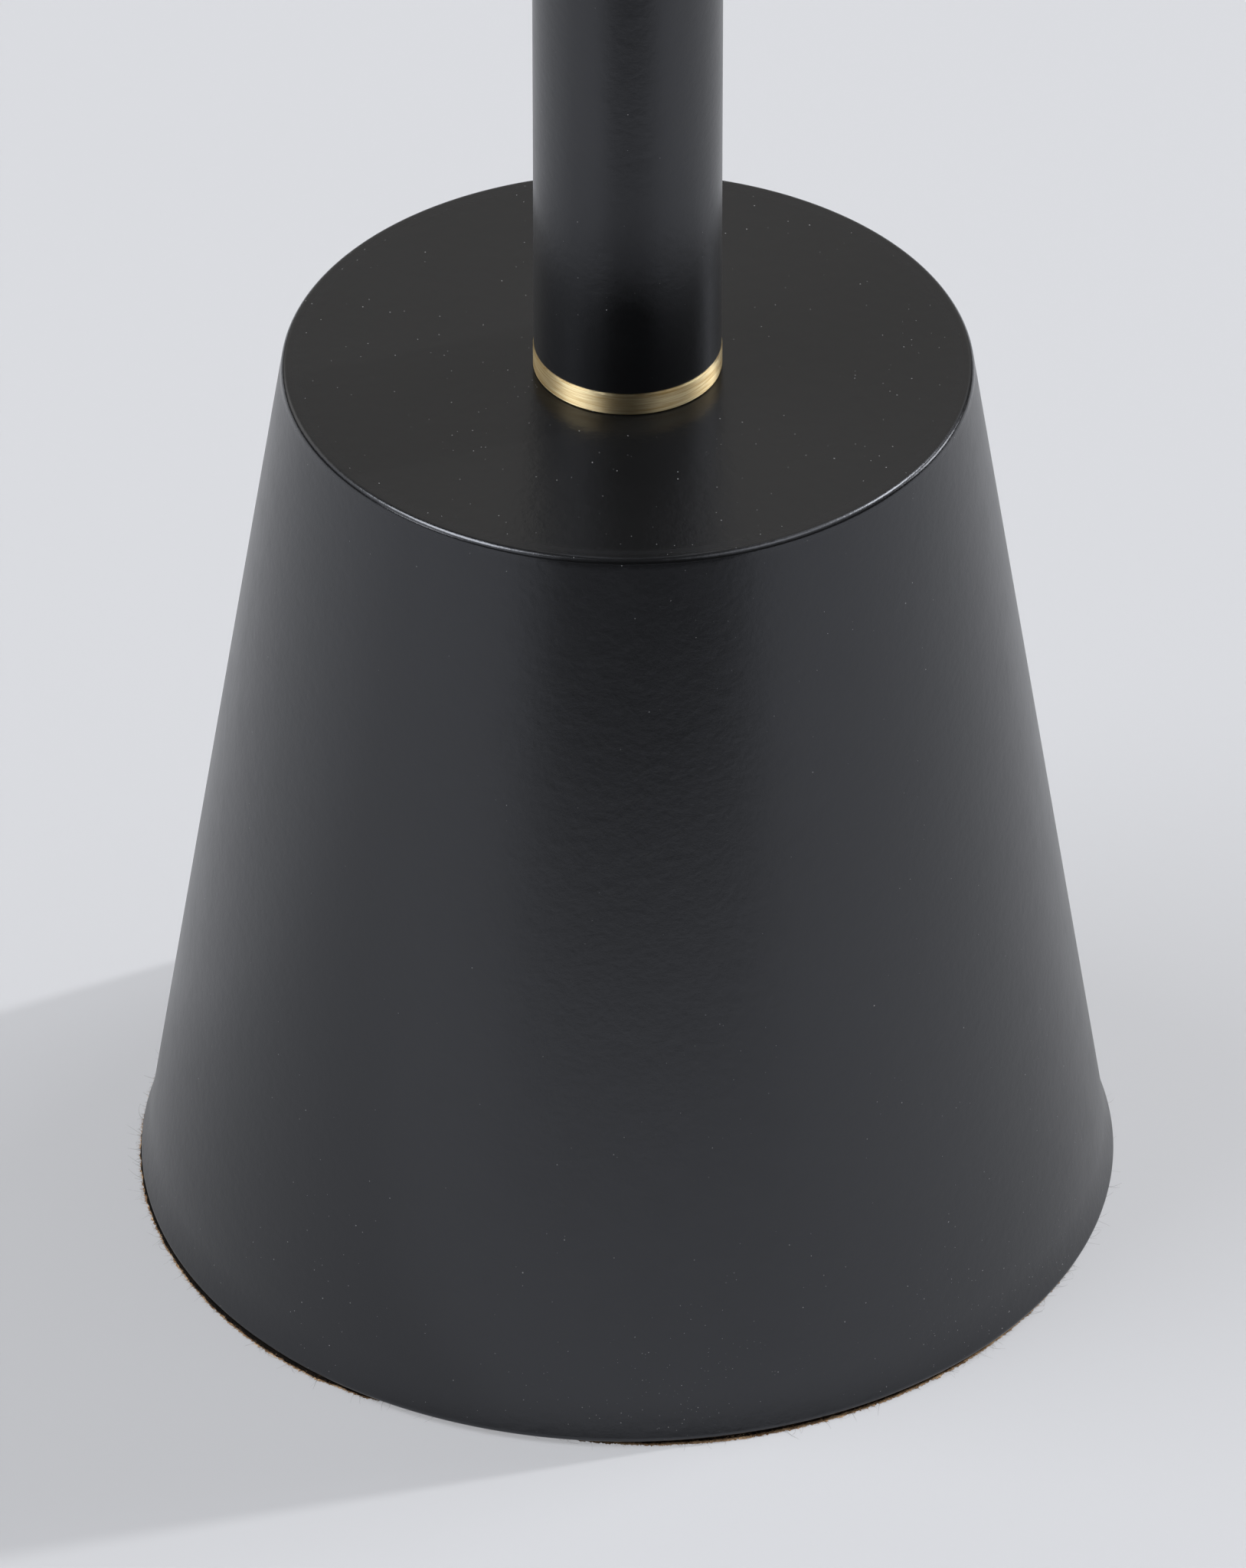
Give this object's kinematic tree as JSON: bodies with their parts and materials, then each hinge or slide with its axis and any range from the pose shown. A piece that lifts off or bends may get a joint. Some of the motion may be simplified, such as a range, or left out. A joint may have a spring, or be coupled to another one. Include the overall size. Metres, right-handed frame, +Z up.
{
  "type": "floor lamp",
  "caption": "Floor lamp with a weighted black cone base, brass-ringed pole, swing arm, tilting cone shade and a rotary switch on the head.",
  "frame": {"origin": "on the floor, at the centre of the felt's underside, on the pole's axis", "axes": "+Z up the pole, +X along the arm at rest, +Y to the back, where the cord outlet is"},
  "size_m": [0.5054, 0.2038, 1.4809],
  "materials": {
    "satin_black": "satin",
    "brass": "brushed, antique",
    "felt": "fibrous felt",
    "steel": "zinc plated",
    "iron": "as cast",
    "nylon": "matt",
    "phenolic": "moulded, semi-gloss",
    "shade_paint": "satin black outside, matt white inside",
    "bulb": "frosted"
  },
  "bodies": {
    "stand": {"felt_pad": "felt", "bottom_plate": "steel", "plate_screws": "steel", "ballast": "iron", "rod_washer": "steel", "rod_nut": "steel", "base_rod": "steel", "base_shell": "satin_black", "cord_bushing": "nylon", "bushing_nut": "nylon", "base_ring": "brass", "pole_foot_plug": "steel", "pole_lower": "satin_black", "pole_coupler": "steel", "pole_upper": "satin_black", "swivel_bush": "brass", "thrust_washer": "nylon"},
    "arm": {"swivel_cap": "satin_black", "stop_pin": "steel", "swivel_spindle": "steel", "spindle_washer": "steel", "spindle_nut": "steel", "arm_tube": "satin_black", "arm_locknut": "brass", "arm_eye": "brass"},
    "head": {"head_bracket": "satin_black", "bracket_screws": "steel", "tilt_bolt": "brass", "tilt_washers": "nylon", "socket_cup": "satin_black", "cup_screws": "steel", "neck_ring": "brass", "lampholder": "phenolic", "screw_shell": "brass", "centre_contact": "brass", "shade": "shade_paint", "shade_ring": "phenolic", "bulb_cap": "steel", "bulb_glass": "bulb", "switch_body": "nylon", "switch_nut": "steel"},
    "clamp": {"tilt_knob": "brass"},
    "switch": {"switch_knob": "brass", "switch_shaft": "steel"}
  },
  "joints": [
    {"name": "arm_swing", "type": "hinge", "parent": "stand", "child": "arm", "pos_m": [0, 0, 1.4329], "axis": [0, 0, 1], "range_deg": [-165, 165]},
    {"name": "head_tilt", "type": "hinge", "parent": "arm", "child": "head", "pos_m": [0.285, 0, 1.4329], "axis": [0, -1, 0], "range_deg": [-30, 90]},
    {"name": "tilt_turn", "type": "hinge", "parent": "head", "child": "clamp", "pos_m": [0.285, 0, 1.4329], "axis": [0, 1, 0], "range_deg": [0, 270]},
    {"name": "switch_turn", "type": "hinge", "parent": "head", "child": "switch", "pos_m": [0.319, 0, 1.4659], "axis": [0, 0, 1], "continuous": true}
  ]
}
